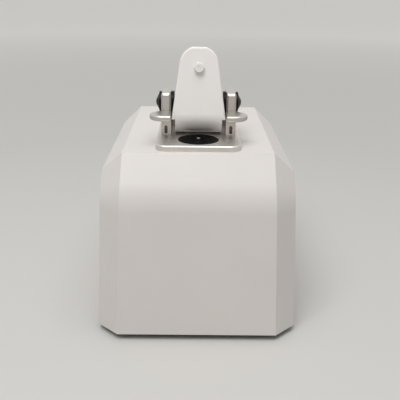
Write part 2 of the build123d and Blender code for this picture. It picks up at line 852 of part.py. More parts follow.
with BuildPart() as spectrometer_cover:
    with BuildSketch(Plane.XY.offset(spectrometer_top)):
        with Locations((0, spectrometer_y)):
            RectangleRounded(spectrometer_width, spectrometer_depth, spectrometer_corner)
    extrude(amount=-spectrometer_lid)
    chamfer(spectrometer_cover.faces().sort_by(Axis.Z)[-1].edges(), length=spectrometer_lid_chamfer)
save(spectrometer_cover.part, "spectrometer_cover")

fin_pitch = lamp_depth / lamp_fins
lamp_front = lamp_y - lamp_depth / 2
lamp_centre_z = bench_top + lamp_height / 2
with BuildPart() as lamp_module:
    with BuildSketch(Plane.XY.offset(bench_top)):
        with Locations((0, lamp_y)):
            Rectangle(lamp_width, lamp_depth)
            with GridLocations(0, fin_pitch, 1, lamp_fins):
                Rectangle(lamp_width + 2 * lamp_fin_depth, fin_pitch / 2)
    extrude(amount=lamp_height)
save(lamp_module.part, "lamp_module")

with BuildPart() as lamp_lens:
    with BuildSketch(Plane.XZ.offset(-lamp_front)):
        with Locations((0, lamp_centre_z)):
            Circle(lens_radius)
    extrude(amount=lens_length)
    fillet(lamp_lens.edges().sort_by(Axis.Y)[0], radius=lens_round)
save(lamp_lens.part, "lamp_lens")

with BuildPart() as standoffs:
    with BuildSketch(Plane.XY.offset(pan_top)):
        with Locations(*board_hole_places):
            RegularPolygon(standoff_radius, 6)
            Circle(screw_hole, mode=Mode.SUBTRACT)
    extrude(amount=standoff_height)
save(standoffs.part, "board_standoffs")

with BuildPart() as main_board:
    with BuildSketch(Plane.XY.offset(board_z)):
        with Locations((0, board_y)):
            RectangleRounded(board_width, board_depth, board_corner)
        with Locations(*board_hole_places):
            Circle(screw_hole, mode=Mode.SUBTRACT)
    extrude(amount=board_thickness)
save(main_board.part, "main_board")
board_screw_length = pan_thickness - screw_head_height + standoff_height + board_thickness
board_screws = straight_screws(board_hole_places, pan_screw_seat, True, board_screw_length)
save(board_screws, "board_screws")

# Sockets, standing on the board and reaching the back wall
usb_z = board_top + usb_height / 2
usb_face = rear_y - (usb_z - floor_z) * rear_slope - socket_inset
with BuildPart() as usb_socket:
    with BuildSketch(Plane.XZ.offset(-usb_face)):
        with Locations((usb_x, usb_z)):
            Rectangle(usb_width, usb_height)
    extrude(amount=usb_depth)
    with BuildSketch(Plane.XZ.offset(-usb_face)):
        with Locations((usb_x, usb_z)):
            Rectangle(usb_width - 2 * usb_shell, usb_height - 2 * usb_shell)
            Rectangle(usb_tongue_width, usb_tongue_height, mode=Mode.SUBTRACT)
    extrude(amount=usb_depth - socket_back, mode=Mode.SUBTRACT)
save(usb_socket.part, "usb_socket")

power_z = board_top + power_width / 2
power_face = rear_y - (power_z - floor_z) * rear_slope - socket_inset
with BuildPart() as power_socket:
    with BuildSketch(Plane.XZ.offset(-power_face)):
        with Locations((power_x, power_z)):
            Rectangle(power_width, power_width)
    extrude(amount=power_depth)
    with BuildSketch(Plane.XZ.offset(-power_face)):
        with Locations((power_x, power_z)):
            Circle(power_bore)
            Circle(power_pin_radius, mode=Mode.SUBTRACT)
    extrude(amount=power_depth - socket_back, mode=Mode.SUBTRACT)
save(power_socket.part, "power_socket")
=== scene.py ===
import math

import bmesh
import bpy
from mathutils import Matrix, Vector


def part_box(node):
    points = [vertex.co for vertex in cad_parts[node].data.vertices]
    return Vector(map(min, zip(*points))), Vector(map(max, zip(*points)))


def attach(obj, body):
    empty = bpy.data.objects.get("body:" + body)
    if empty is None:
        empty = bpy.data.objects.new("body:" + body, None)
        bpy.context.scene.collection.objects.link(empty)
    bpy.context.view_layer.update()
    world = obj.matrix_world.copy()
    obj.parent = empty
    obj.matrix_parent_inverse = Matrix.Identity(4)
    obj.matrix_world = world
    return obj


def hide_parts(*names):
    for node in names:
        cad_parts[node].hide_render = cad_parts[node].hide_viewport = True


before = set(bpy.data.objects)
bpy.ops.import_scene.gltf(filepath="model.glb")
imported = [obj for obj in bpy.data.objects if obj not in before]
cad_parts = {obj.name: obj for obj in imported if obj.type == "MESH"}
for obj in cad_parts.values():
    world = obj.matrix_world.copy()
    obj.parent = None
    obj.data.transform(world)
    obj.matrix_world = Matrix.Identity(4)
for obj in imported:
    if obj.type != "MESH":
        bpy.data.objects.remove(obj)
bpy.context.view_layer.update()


# Camera: it stands where the photograph was taken, in front of the instrument and a quarter of a
# metre up. Its place, tilt, roll and focal length come from a fit to the housing's corners.
MM = 0.001
CAMERA_PLACE = Vector((-2.4, -488.4, 241.1)) * MM
CAMERA_DOWN = math.radians(19.39)
CAMERA_TURN = math.radians(0.54)
CAMERA_ROLL = math.radians(0.75)
FOCAL_PIXELS = 637.0
PHOTO_PIXELS = 400.0

camera_data = bpy.data.cameras.new("camera")
camera_data.sensor_width = 36.0
camera_data.lens = camera_data.sensor_width * FOCAL_PIXELS / PHOTO_PIXELS
camera_data.clip_start = 0.01
camera = bpy.data.objects.new("camera", camera_data)
bpy.context.scene.collection.objects.link(camera)
level_ahead = Vector((math.sin(CAMERA_TURN), math.cos(CAMERA_TURN), 0))
level_right = Vector((math.cos(CAMERA_TURN), -math.sin(CAMERA_TURN), 0))
ahead = level_ahead * math.cos(CAMERA_DOWN) - Vector((0, 0, math.sin(CAMERA_DOWN)))
above = level_ahead * math.sin(CAMERA_DOWN) + Vector((0, 0, math.cos(CAMERA_DOWN)))
right = level_right * math.cos(CAMERA_ROLL) + above * math.sin(CAMERA_ROLL)
up = above * math.cos(CAMERA_ROLL) - level_right * math.sin(CAMERA_ROLL)
turn = Matrix((right, up, -ahead)).transposed().to_4x4()
camera.matrix_world = Matrix.Translation(CAMERA_PLACE) @ turn
bpy.context.scene.camera = camera
bpy.context.scene.view_settings.view_transform = "Standard"


# Bench top and studio: a plain pale laminate, matt with a faint mottle, under one broad soft lamp above
# and in front and a weaker one overhead. The surround and the far floor look pale to the camera, to
# gloss and to glass, but throw no more light on the instrument for it.
FLOOR_COLOUR = "#C8C6C3"
FLOOR_HALF = 14.0
FLOOR_MOTTLE = 16 * MM
FAR_FLOOR_START, FAR_FLOOR_END = 0.5, 2.4
FAR_FLOOR_GLOW = 0.42
SURROUND_COLOUR = "#F2F1EF"
SURROUND_LIGHT = 0.42
LAMP_TARGET = Vector((0, 0, 0.1))


def linear(hex_colour):
    """A colour written as sRGB hex, as the linear values that sockets take."""
    channels = [int(hex_colour[i:i + 2], 16) / 255 for i in (1, 3, 5)]
    return tuple(c / 12.92 if c <= 0.04045 else ((c + 0.055) / 1.055) ** 2.4 for c in channels) + (1.0,)


def add_node(tree, kind, settings=None, links=None):
    """One node: settings are its properties or unlinked inputs, links feed its other inputs."""
    node = tree.nodes.new(kind)
    for name, value in (settings or {}).items():
        if isinstance(name, str) and name in node.bl_rna.properties:
            setattr(node, name, value)
        else:
            node.inputs[name].default_value = value
    for name, socket in (links or {}).items():
        tree.links.new(socket, node.inputs[name])
    return node


def new_finish(name):
    """An empty material with its node tree and the object coordinates that its patterns use."""
    finish = bpy.data.materials.new(name)
    finish.use_nodes = True
    tree = finish.node_tree
    tree.nodes.clear()
    return finish, tree, add_node(tree, "ShaderNodeTexCoord").outputs["Object"]


def close_finish(tree, settings, links):
    """The surface shader and the output that end a material."""
    shader = add_node(tree, "ShaderNodeBsdfPrincipled", settings, links)
    add_node(tree, "ShaderNodeOutputMaterial", {}, {"Surface": shader.outputs["BSDF"]})


def seen_directly(tree):
    """One where the camera, a gloss or a clear piece sees the surface, and nought for its light."""
    ray = add_node(tree, "ShaderNodeLightPath")
    through = {0: ray.outputs["Is Glossy Ray"], 1: ray.outputs["Is Transmission Ray"]}
    mirrored = add_node(tree, "ShaderNodeMath", {"operation": "MAXIMUM"}, through)
    either = {0: ray.outputs["Is Camera Ray"], 1: mirrored.outputs["Value"]}
    return add_node(tree, "ShaderNodeMath", {"operation": "MAXIMUM"}, either).outputs["Value"]


laminate, laminate_tree, laminate_place = new_finish("matt_laminate")
laminate_mottle = add_node(
    laminate_tree,
    "ShaderNodeTexNoise",
    {"Scale": 1 / FLOOR_MOTTLE, "Detail": 4.0},
    {"Vector": laminate_place},
)
laminate_relief = add_node(
    laminate_tree,
    "ShaderNodeBump",
    {"Strength": 0.03, "Distance": 0.2 * MM},
    {"Height": laminate_mottle.outputs["Fac"]},
)
from_middle = add_node(laminate_tree, "ShaderNodeVectorMath", {"operation": "LENGTH"}, {0: laminate_place})
far_off = add_node(
    laminate_tree,
    "ShaderNodeMapRange",
    {"From Min": FAR_FLOOR_START, "From Max": FAR_FLOOR_END, "To Max": FAR_FLOOR_GLOW},
    {"Value": from_middle.outputs["Value"]},
)
far_glow = add_node(
    laminate_tree,
    "ShaderNodeMath",
    {"operation": "MULTIPLY"},
    {0: far_off.outputs["Result"], 1: seen_directly(laminate_tree)},
)
close_finish(
    laminate_tree,
    {"Base Color": linear(FLOOR_COLOUR), "Emission Color": linear(FLOOR_COLOUR), "Roughness": 0.6},
    {"Normal": laminate_relief.outputs["Normal"], "Emission Strength": far_glow.outputs["Value"]},
)
floor_mesh = bpy.data.meshes.new("bench_top")
floor_corners = [(i * FLOOR_HALF, j * FLOOR_HALF, 0) for i, j in ((-1, -1), (1, -1), (1, 1), (-1, 1))]
floor_mesh.from_pydata(floor_corners, [], [(0, 1, 2, 3)])
floor_mesh.materials.append(laminate)
floor = bpy.data.objects.new("bench_top", floor_mesh)
bpy.context.scene.collection.objects.link(floor)

studio = bpy.data.worlds.new("studio")
studio.use_nodes = True
bpy.context.scene.world = studio
studio_tree = studio.node_tree
studio_tree.nodes.clear()
surround_level = add_node(
    studio_tree,
    "ShaderNodeMapRange",
    {"To Min": SURROUND_LIGHT, "To Max": 1.0},
    {"Value": seen_directly(studio_tree)},
)
surround = add_node(
    studio_tree,
    "ShaderNodeBackground",
    {"Color": linear(SURROUND_COLOUR)},
    {"Strength": surround_level.outputs["Result"]},
)
add_node(studio_tree, "ShaderNodeOutputWorld", {}, {"Surface": surround.outputs["Background"]})


def add_lamp(name, place, size, power):
    """A square soft lamp, placed in metres, that points at the top of the housing."""
    lamp_data = bpy.data.lights.new(name, "AREA")
    lamp_data.size = size
    lamp_data.energy = power
    lamp = bpy.data.objects.new(name, lamp_data)
    lamp.location = place
    lamp.rotation_euler = (LAMP_TARGET - Vector(place)).to_track_quat("-Z", "Y").to_euler()
    bpy.context.scene.collection.objects.link(lamp)


add_lamp("front_lamp", place=(-0.35, -0.85, 1.5), size=0.9, power=14.0)
add_lamp("overhead_lamp", place=(0.1, -0.25, 1.6), size=1.2, power=9.0)


# Housing: one injection-moulded shell of pale grey ABS and polycarbonate, spark-eroded in the tool to
# an even satin grain. Soft radii run along every crease of its bevels and catch the light. The real
# grain is about 0.1 mm, and it is drawn at 0.35 mm so that it shows.
SHELL_COLOUR = "#D2CECA"
SHELL_EDGE_RADIUS = 1.5 * MM
SHELL_GRAIN = 0.35 * MM
MELT_CLOUD = 40 * MM
PLASTIC = {"IOR": 1.53}
WELD = 0.001 * MM
FLAT = math.radians(0.2)
CREASE = math.radians(20.0)


def whole_form(node):
    """The shape of a CAD node as a bmesh, with its flat faces made whole."""
    form = bmesh.new()
    form.from_mesh(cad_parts[node].data)
    bmesh.ops.remove_doubles(form, verts=form.verts, dist=WELD)
    bmesh.ops.dissolve_limit(form, angle_limit=FLAT, verts=form.verts, edges=form.edges)
    bmesh.ops.recalc_face_normals(form, faces=form.faces)
    return form


def eased_mesh(form, name, radius, finish, segments=3):
    """A mesh from a bmesh with every edge sharper than the crease angle rounded to a radius."""
    mesh = bpy.data.meshes.new(name + "_form")
    form.to_mesh(mesh)
    form.free()
    mesh.shade_smooth()
    blank = bpy.data.objects.new(name + "_blank", mesh)
    bpy.context.scene.collection.objects.link(blank)
    rounding = blank.modifiers.new("rounding", "BEVEL")
    rounding.width = radius
    rounding.segments = segments
    rounding.limit_method = "ANGLE"
    rounding.angle_limit = CREASE
    rounding.miter_outer = "MITER_ARC"
    evening = blank.modifiers.new("evening", "WEIGHTED_NORMAL")
    evening.keep_sharp = True
    bpy.context.view_layer.update()
    eased = bpy.data.meshes.new_from_object(blank.evaluated_get(bpy.context.evaluated_depsgraph_get()))
    bpy.data.objects.remove(blank)
    bpy.data.meshes.remove(mesh)
    eased.name = name
    eased.materials.clear()
    eased.materials.append(finish)
    return eased


def as_piece(name, mesh, body, node):
    """A finished piece from its name, its mesh, the body it rides and the CAD node that it stands for, which
    it hides.
    """
    piece = bpy.data.objects.new(name, mesh)
    bpy.context.scene.collection.objects.link(piece)
    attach(piece, body)
    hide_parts(node)


def dress(node, name, body, radius, finish, segments=3):
    """A CAD node's form with its edges eased and its finish on, as a piece."""
    as_piece(name, eased_mesh(whole_form(node), name, radius, finish, segments), body, node)


def grained_finish(name, colour, roughness, grain, depth, cloud, nature=PLASTIC):
    """A moulded, cast or coated skin: an even fine grain, and a faint cloudiness in the colour."""
    finish, tree, place = new_finish(name)
    melt = add_node(tree, "ShaderNodeTexNoise", {"Scale": 1 / MELT_CLOUD, "Detail": 4.0}, {"Vector": place})
    tint = add_node(tree, "ShaderNodeValToRGB", {}, {"Fac": melt.outputs["Fac"]})
    for element, stop, share in zip(tint.color_ramp.elements, (0.35, 0.65), (1 - cloud, 1 + cloud)):
        element.position = stop
        element.color = tuple(c * share for c in linear(colour)[:3]) + (1.0,)
    pits = add_node(tree, "ShaderNodeTexNoise", {"Scale": 1 / grain, "Detail": 2.0}, {"Vector": place})
    relief = add_node(
        tree, "ShaderNodeBump", {"Strength": 0.35, "Distance": depth}, {"Height": pits.outputs["Fac"]}
    )
    gloss = add_node(
        tree,
        "ShaderNodeMapRange",
        {"To Min": roughness - 0.04, "To Max": roughness + 0.04},
        {"Value": pits.outputs["Fac"]},
    )
    close_finish(
        tree,
        nature,
        {
            "Base Color": tint.outputs["Color"],
            "Roughness": gloss.outputs["Result"],
            "Normal": relief.outputs["Normal"],
        },
    )
    return finish


shell_finish = grained_finish(
    "moulded_grey_abs", SHELL_COLOUR, roughness=0.48, grain=SHELL_GRAIN, depth=0.03 * MM, cloud=0.012
)
dress("housing", "housing_shell", "base", SHELL_EDGE_RADIUS, shell_finish)


# Base pan: folded steel sheet, powder-coated dark grey with a dull, slightly pebbly skin, that closes
# the shell from below. Twelve screws go up through it, into the shell's bosses, the bench's posts and
# the board's standoffs.
PAN_COLOUR = "#55575A"
PAN_EDGE_RADIUS = 0.4 * MM
POWDER_GRAIN = 0.6 * MM

pan_finish = grained_finish(
    "powder_coated_steel", PAN_COLOUR, roughness=0.55, grain=POWDER_GRAIN, depth=0.05 * MM, cloud=0.05
)
dress("base_pan", "bottom_pan", "base", PAN_EDGE_RADIUS, pan_finish, 2)


# Feet: four pads moulded from black rubber and stuck under the pan's corners. They are dull and nearly
# black, with dust in patches.
FOOT_COLOUR = "#26262A"
FOOT_EDGE_RADIUS = 0.3 * MM
DUST_PATCH = 4.5 * MM
RUBBER_PIT = 0.4 * MM


def dull_rubber(name, colour):
    """Rubber: near black, with a dusty bloom in patches and a faint pitted surface."""
    finish, tree, place = new_finish(name)
    dust = add_node(tree, "ShaderNodeTexNoise", {"Scale": 1 / DUST_PATCH, "Detail": 5.0}, {"Vector": place})
    tint = add_node(tree, "ShaderNodeValToRGB", {}, {"Fac": dust.outputs["Fac"]})
    for element, stop, share in zip(tint.color_ramp.elements, (0.4, 0.75), (1.0, 1.9)):
        element.position = stop
        element.color = tuple(c * share for c in linear(colour)[:3]) + (1.0,)
    pits = add_node(tree, "ShaderNodeTexNoise", {"Scale": 1 / RUBBER_PIT}, {"Vector": place})
    relief = add_node(
        tree, "ShaderNodeBump", {"Strength": 0.4, "Distance": 0.04 * MM}, {"Height": pits.outputs["Fac"]}
    )
    close_finish(
        tree,
        {"Roughness": 0.82, "IOR": 1.52},
        {"Base Color": tint.outputs["Color"], "Normal": relief.outputs["Normal"]},
    )
    return finish


foot_finish = dull_rubber("moulded_black_rubber", FOOT_COLOUR)
dress("rubber_feet", "foot_pads", "base", FOOT_EDGE_RADIUS, foot_finish, 2)


# Stage, yoke and hinge blocks: stainless steel, milled, ground along its length and then polished by
# hand, so it is satin with faint long scratches and bright rounded rims. Real grinding marks are some
# hundredths of a millimetre wide, and they are drawn at 0.11 mm so that they show.
STAGE_COLOUR = "#CFCAC5"
STEEL_COLOUR = "#BDB8B3"
# Painted shade: the darker steel colour of the insides of the yoke's slots.
SLOT_SHADE_COLOUR = "#6E6A66"
STAGE_EDGE_RADIUS = 0.25 * MM
BLOCK_EDGE_RADIUS = 0.35 * MM
SCRATCH_WIDTH = 0.11 * MM
SCRATCH_LENGTH = 8 * MM
STEEL_MOTTLE = 11 * MM
SLOT_LOW = Vector((21.9, -42.8, 134.4)) * MM
SLOT_HIGH = Vector((24.3, -40.6, 140.6)) * MM


def ground_steel(name, colour, roughness, along, scratch=1.0):
    """Ground metal: fine scratches drawn out along one axis in relief and gloss, and a faint mottle."""
    finish, tree, place = new_finish(name)
    stretch = [1 / SCRATCH_WIDTH] * 3
    stretch["XYZ".index(along)] = 1 / SCRATCH_LENGTH
    drawn = add_node(tree, "ShaderNodeMapping", {"Scale": stretch}, {"Vector": place})
    scratches = add_node(
        tree, "ShaderNodeTexNoise", {"Scale": 1.0, "Detail": 3.0}, {"Vector": drawn.outputs["Vector"]}
    )
    mottle = add_node(
        tree, "ShaderNodeTexNoise", {"Scale": 1 / STEEL_MOTTLE, "Detail": 4.0}, {"Vector": place}
    )
    tint = add_node(tree, "ShaderNodeValToRGB", {}, {"Fac": mottle.outputs["Fac"]})
    for element, stop, share in zip(tint.color_ramp.elements, (0.3, 0.7), (0.93, 1.05)):
        element.position = stop
        element.color = tuple(c * share for c in linear(colour)[:3]) + (1.0,)
    gloss = add_node(
        tree,
        "ShaderNodeMapRange",
        {"To Min": roughness - 0.07, "To Max": roughness + 0.07},
        {"Value": scratches.outputs["Fac"]},
    )
    relief = add_node(
        tree,
        "ShaderNodeBump",
        {"Strength": 0.12 * scratch, "Distance": 0.02 * MM},
        {"Height": scratches.outputs["Fac"]},
    )
    close_finish(
        tree,
        {"Metallic": 1.0},
        {
            "Base Color": tint.outputs["Color"],
            "Roughness": gloss.outputs["Result"],
            "Normal": relief.outputs["Normal"],
        },
    )
    return finish


stage_finish = ground_steel("ground_stainless_plate", STAGE_COLOUR, roughness=0.44, along="X")
dress("stage_plate", "steel_stage", "base", STAGE_EDGE_RADIUS, stage_finish, 2)

# The slots in the fronts of the yoke's towers are dull, and their darker steel colour is painted shade for
# the shade inside them.
yoke_finish = ground_steel("ground_stainless_block", STEEL_COLOUR, roughness=0.38, along="Z")
slot_shade_finish = ground_steel("painted_shade_slot", SLOT_SHADE_COLOUR, roughness=0.5, along="Z")
yoke_mesh = eased_mesh(whole_form("hinge_yoke"), "winged_yoke", BLOCK_EDGE_RADIUS, yoke_finish)
yoke_mesh.materials.append(slot_shade_finish)
# Faces inside the slots take the painted shade.
for face in yoke_mesh.polygons:
    place = Vector((abs(face.center.x), face.center.y, face.center.z))
    if all(low < at < high for low, at, high in zip(SLOT_LOW, place, SLOT_HIGH)):
        face.material_index = 1
as_piece("winged_yoke", yoke_mesh, "base", "hinge_yoke")
for side in ("left", "right"):
    node, name = f"hinge_block_{side}", f"pivot_block_{side}"
    dress(node, name, "base", BLOCK_EDGE_RADIUS, yoke_finish)


# Disc, knobs, washers and cuvette holder: black acetal, turned or milled from bar. The lathe leaves
# fine rings on the turned faces, and the surface is dark with a low sheen. Real rings are under 0.1 mm
# apart, and they are drawn 0.25 mm apart so that they show.
DISC_COLOUR = "#060607"
KNOB_COLOUR = "#08080A"
WELL_COLOUR = "#1B1B1D"
THIN_EDGE_RADIUS = 0.1 * MM
KNOB_EDGE_RADIUS = 0.2 * MM
LATHE_FEED = 0.25 * MM
ACETAL_HAZE = 2.5 * MM
MILLED_GRAIN = 0.5 * MM


def turned_acetal(name, colour, roughness, sheen, axis, centre):
    """Turned plastic: fine rings round an axis through a centre, in relief, over a dark colour."""
    finish, tree, place = new_finish(name)
    flatten = [1.0, 1.0, 1.0]
    flatten["XYZ".index(axis)] = 0.0
    turns = 2 * math.pi / LATHE_FEED
    offset = add_node(tree, "ShaderNodeVectorMath", {"operation": "SUBTRACT", 1: centre}, {0: place})
    radial = add_node(
        tree, "ShaderNodeVectorMath", {"operation": "MULTIPLY", 1: flatten}, {0: offset.outputs["Vector"]}
    )
    distance = add_node(tree, "ShaderNodeVectorMath", {"operation": "LENGTH"}, {0: radial.outputs["Vector"]})
    feed = add_node(
        tree, "ShaderNodeMath", {"operation": "MULTIPLY", 1: turns}, {0: distance.outputs["Value"]}
    )
    rings = add_node(tree, "ShaderNodeMath", {"operation": "SINE"}, {0: feed.outputs["Value"]})
    relief = add_node(
        tree, "ShaderNodeBump", {"Strength": 0.12, "Distance": 0.01 * MM}, {"Height": rings.outputs["Value"]}
    )
    haze = add_node(tree, "ShaderNodeTexNoise", {"Scale": 1 / ACETAL_HAZE, "Detail": 3.0}, {"Vector": place})
    gloss = add_node(
        tree,
        "ShaderNodeMapRange",
        {"To Min": roughness - 0.08, "To Max": roughness + 0.08},
        {"Value": haze.outputs["Fac"]},
    )
    tint = add_node(tree, "ShaderNodeValToRGB", {}, {"Fac": haze.outputs["Fac"]})
    for element, share in zip(tint.color_ramp.elements, (0.8, 1.2)):
        element.color = tuple(c * share for c in linear(colour)[:3]) + (1.0,)
    close_finish(
        tree,
        {"IOR": 1.48, "Specular IOR Level": sheen},
        {
            "Base Color": tint.outputs["Color"],
            "Roughness": gloss.outputs["Result"],
            "Normal": relief.outputs["Normal"],
        },
    )
    return finish


disc_centre = sum(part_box("pedestal_disc"), Vector()) / 2
disc_finish = turned_acetal(
    "turned_black_acetal", DISC_COLOUR, roughness=0.38, sheen=0.04, axis="Z", centre=disc_centre
)
dress("pedestal_disc", "black_disc", "base", THIN_EDGE_RADIUS, disc_finish, 2)

knob_centre = sum(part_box("hinge_knob_left"), Vector()) / 2
knob_finish = turned_acetal(
    "turned_black_knob", KNOB_COLOUR, roughness=0.3, sheen=0.12, axis="X", centre=knob_centre
)
for side in ("left", "right"):
    node, name = f"hinge_knob_{side}", f"thumb_knob_{side}"
    dress(node, name, "base", KNOB_EDGE_RADIUS, knob_finish)
    node, name = f"hinge_washer_{side}", f"thrust_washer_{side}"
    dress(node, name, "base", THIN_EDGE_RADIUS, knob_finish, 2)

well_finish = grained_finish(
    "milled_black_acetal", WELL_COLOUR, roughness=0.42, grain=MILLED_GRAIN, depth=0.01 * MM, cloud=0.15
)
dress("cuvette_holder", "cuvette_well", "base", KNOB_EDGE_RADIUS, well_finish, 2)


# Arm: two moulded shells of white ABS, a tray with the working face and a cover behind it, smoother
# than the housing and with a softer sheen. The face turns under into a round hub that clears the
# stage as the arm swings, and a fine shut line shows where the two shells meet.
ARM_COLOUR = "#E4E1DE"
ARM_EDGE_RADIUS = 0.3 * MM
ARM_GRAIN = 0.25 * MM
HINGE = Vector((0, -34.0, 156.0)) * MM
ARM_LEAN = math.radians(10.0)
ARM_UP = Vector((0, math.sin(ARM_LEAN), math.cos(ARM_LEAN)))
ARM_OUT = Vector((0, -math.cos(ARM_LEAN), math.sin(ARM_LEAN)))
FACE_OFFSET = 16.5 * MM
HUB_RADIUS = 21.5 * MM
CHIN_RADIUS = 12.0 * MM
CHIN_CUTS = 14
CHIN_CUT_SPACING = 0.8 * MM
CHIN_SWEEP = math.radians(60)
CUT_WELD = 1e-7


def soften_chin(form):
    """Rounds the arm where its flat face turns under into the hub, by drawing the outside in."""
    drop = math.sqrt((HUB_RADIUS - CHIN_RADIUS) ** 2 - (FACE_OFFSET - CHIN_RADIUS) ** 2)
    centre = Vector((-drop, FACE_OFFSET - CHIN_RADIUS))
    for step in range(CHIN_CUTS):
        cut = HINGE - ARM_UP * (drop + step * CHIN_CUT_SPACING)
        shape = form.verts[:] + form.edges[:] + form.faces[:]
        bmesh.ops.bisect_plane(form, geom=shape, dist=CUT_WELD, plane_co=cut, plane_no=ARM_UP)
    for vert in form.verts:
        reach = (vert.co - HINGE).dot(ARM_UP)
        out = (vert.co - HINGE).dot(ARM_OUT)
        spoke = Vector((reach, out))
        if reach > -drop or out < 0 or spoke.angle(centre) > CHIN_SWEEP:
            continue
        along = spoke.normalized().dot(centre)
        limit = along + math.sqrt(max(0.0, along**2 - centre.length_squared + CHIN_RADIUS**2))
        if spoke.length > limit:
            drawn = spoke.normalized() * limit
            vert.co += ARM_UP * (drawn.x - reach) + ARM_OUT * (drawn.y - out)


arm_finish = grained_finish(
    "moulded_white_abs", ARM_COLOUR, roughness=0.42, grain=ARM_GRAIN, depth=0.012 * MM, cloud=0.015
)
tray_form = whole_form("arm_tray")
soften_chin(tray_form)
tray_mesh = eased_mesh(tray_form, "arm_face", ARM_EDGE_RADIUS, arm_finish, 2)
as_piece("arm_face", tray_mesh, "arm", "arm_tray")
dress("arm_cover", "arm_back", "arm", ARM_EDGE_RADIUS, arm_finish, 2)


# Pedestals: the drop sits between two stems, each with a fibre in a ferrule at its centre. The lower
# one is stainless steel, lapped bright and let into the disc. The upper one is turned from white
# acetal, slides in the arm and looks nearly as plain as the arm's face.
STEM_COLOUR = "#77757A"
FERRULE_COLOUR = "#B9B7B4"
UPPER_COLOUR = "#E0DDDA"
STEM_EDGE_RADIUS = 0.1 * MM
UPPER_EDGE_RADIUS = 0.15 * MM
UPPER_GRAIN = 0.3 * MM


def refinish(finish, *nodes):
    """Gives CAD nodes whose shape is right a better material."""
    for node in nodes:
        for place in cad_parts[node].material_slots:
            place.link = "OBJECT"
            place.material = finish


stem_finish = ground_steel("lapped_stainless_stem", STEM_COLOUR, roughness=0.2, along="Z", scratch=0.3)
dress("lower_pedestal", "lower_stem", "base", STEM_EDGE_RADIUS, stem_finish, 2)
upper_finish = grained_finish(
    "turned_white_acetal", UPPER_COLOUR, roughness=0.35, grain=UPPER_GRAIN, depth=0.005 * MM, cloud=0.01
)
dress("upper_pedestal", "upper_stem", "upper_pedestal", UPPER_EDGE_RADIUS, upper_finish, 2)
ferrule_finish = ground_steel(
    "polished_fibre_ferrule", FERRULE_COLOUR, roughness=0.12, along="Z", scratch=0.2
)
refinish(ferrule_finish, "lower_ferrule")
refinish(upper_finish, "upper_ferrule")


# Screws: steel machine screws with cheese heads and hex sockets, zinc-plated to a cool even grey. One
# node group stands a screw at each place that a CAD node's screws have. The pins are bare ground steel.
ZINC_COLOUR = "#A9ABAE"
PIN_COLOUR = "#A6A3A0"
SCREW_SIZES = ("Head Radius", "Head Height", "Shank Radius", "Shank Length")
M3_SCREW = (2.8 * MM, 1.6 * MM, 1.5 * MM)
M2_SCREW = (1.9 * MM, 1.1 * MM, 1.0 * MM)
HEAD_SIDES = 48
SHANK_SIDES = 32
DRIVE_SIDES = 6
DRIVE_SHARE = 0.55
CROWN_DEPTH = 0.01 * MM
SCREW_CREASE = math.radians(35.0)
DOWN = Vector((0, 0, -1))


def screw_tree():
    """A node group that stands one socket screw, head outwards, at each vertex of a mesh."""
    tree = bpy.data.node_groups.new("socket_screws", "GeometryNodeTree")
    sockets = tree.interface
    sockets.new_socket("Geometry", in_out="INPUT", socket_type="NodeSocketGeometry")
    for label in SCREW_SIZES:
        sockets.new_socket(label, in_out="INPUT", socket_type="NodeSocketFloat")
    sockets.new_socket("Facing", in_out="INPUT", socket_type="NodeSocketVector")
    sockets.new_socket("Finish", in_out="INPUT", socket_type="NodeSocketMaterial")
    sockets.new_socket("Geometry", in_out="OUTPUT", socket_type="NodeSocketGeometry")
    given = tree.nodes.new("NodeGroupInput").outputs
    head_radius, head_height, shank_radius, shank_length = (given[label] for label in SCREW_SIZES)

    head_drop = add_node(tree, "ShaderNodeMath", {"operation": "MULTIPLY", 1: -0.5}, {0: head_height})
    half_shank = add_node(tree, "ShaderNodeMath", {"operation": "MULTIPLY", 1: -0.5}, {0: shank_length})
    below_head = {0: half_shank.outputs["Value"], 1: head_height}
    shank_drop = add_node(tree, "ShaderNodeMath", {"operation": "SUBTRACT"}, below_head)
    cylinders = []
    for sides, radius, depth, drop in (
        (HEAD_SIDES, head_radius, head_height, head_drop),
        (SHANK_SIDES, shank_radius, shank_length, shank_drop),
    ):
        size = {"Radius": radius, "Depth": depth}
        cylinder = add_node(tree, "GeometryNodeMeshCylinder", {"Vertices": sides}, size)
        shift = add_node(tree, "ShaderNodeCombineXYZ", {}, {"Z": drop.outputs["Value"]})
        moved = {"Geometry": cylinder.outputs["Mesh"], "Translation": shift.outputs["Vector"]}
        cylinders.append(add_node(tree, "GeometryNodeTransform", {}, moved))
    head, shank = cylinders

    drive_radius = add_node(
        tree, "ShaderNodeMath", {"operation": "MULTIPLY", 1: DRIVE_SHARE}, {0: head_radius}
    )
    drive_size = {"Radius": drive_radius.outputs["Value"], "Depth": head_height}
    drive = add_node(tree, "GeometryNodeMeshCylinder", {"Vertices": DRIVE_SIDES}, drive_size)
    cut = {0: head.outputs["Geometry"], 1: drive.outputs["Mesh"]}
    recessed = add_node(tree, "GeometryNodeMeshBoolean", {"operation": "DIFFERENCE"}, cut)
    screw = add_node(tree, "GeometryNodeJoinGeometry")
    tree.links.new(recessed.outputs["Mesh"], screw.inputs[0])
    tree.links.new(shank.outputs["Geometry"], screw.inputs[0])

    turn_out = add_node(tree, "FunctionNodeEulerToRotation", {}, {"Euler": given["Facing"]})
    stood = {
        "Points": given["Geometry"],
        "Instance": screw.outputs["Geometry"],
        "Rotation": turn_out.outputs["Rotation"],
    }
    placed = add_node(tree, "GeometryNodeInstanceOnPoints", {}, stood)
    real = add_node(tree, "GeometryNodeRealizeInstances", {}, {"Geometry": placed.outputs["Instances"]})
    coated = {"Geometry": real.outputs["Geometry"], "Material": given["Finish"]}
    finished = add_node(tree, "GeometryNodeSetMaterial", {}, coated)
    end = tree.nodes.new("NodeGroupOutput")
    tree.links.new(finished.outputs["Geometry"], end.inputs[0])
    return tree


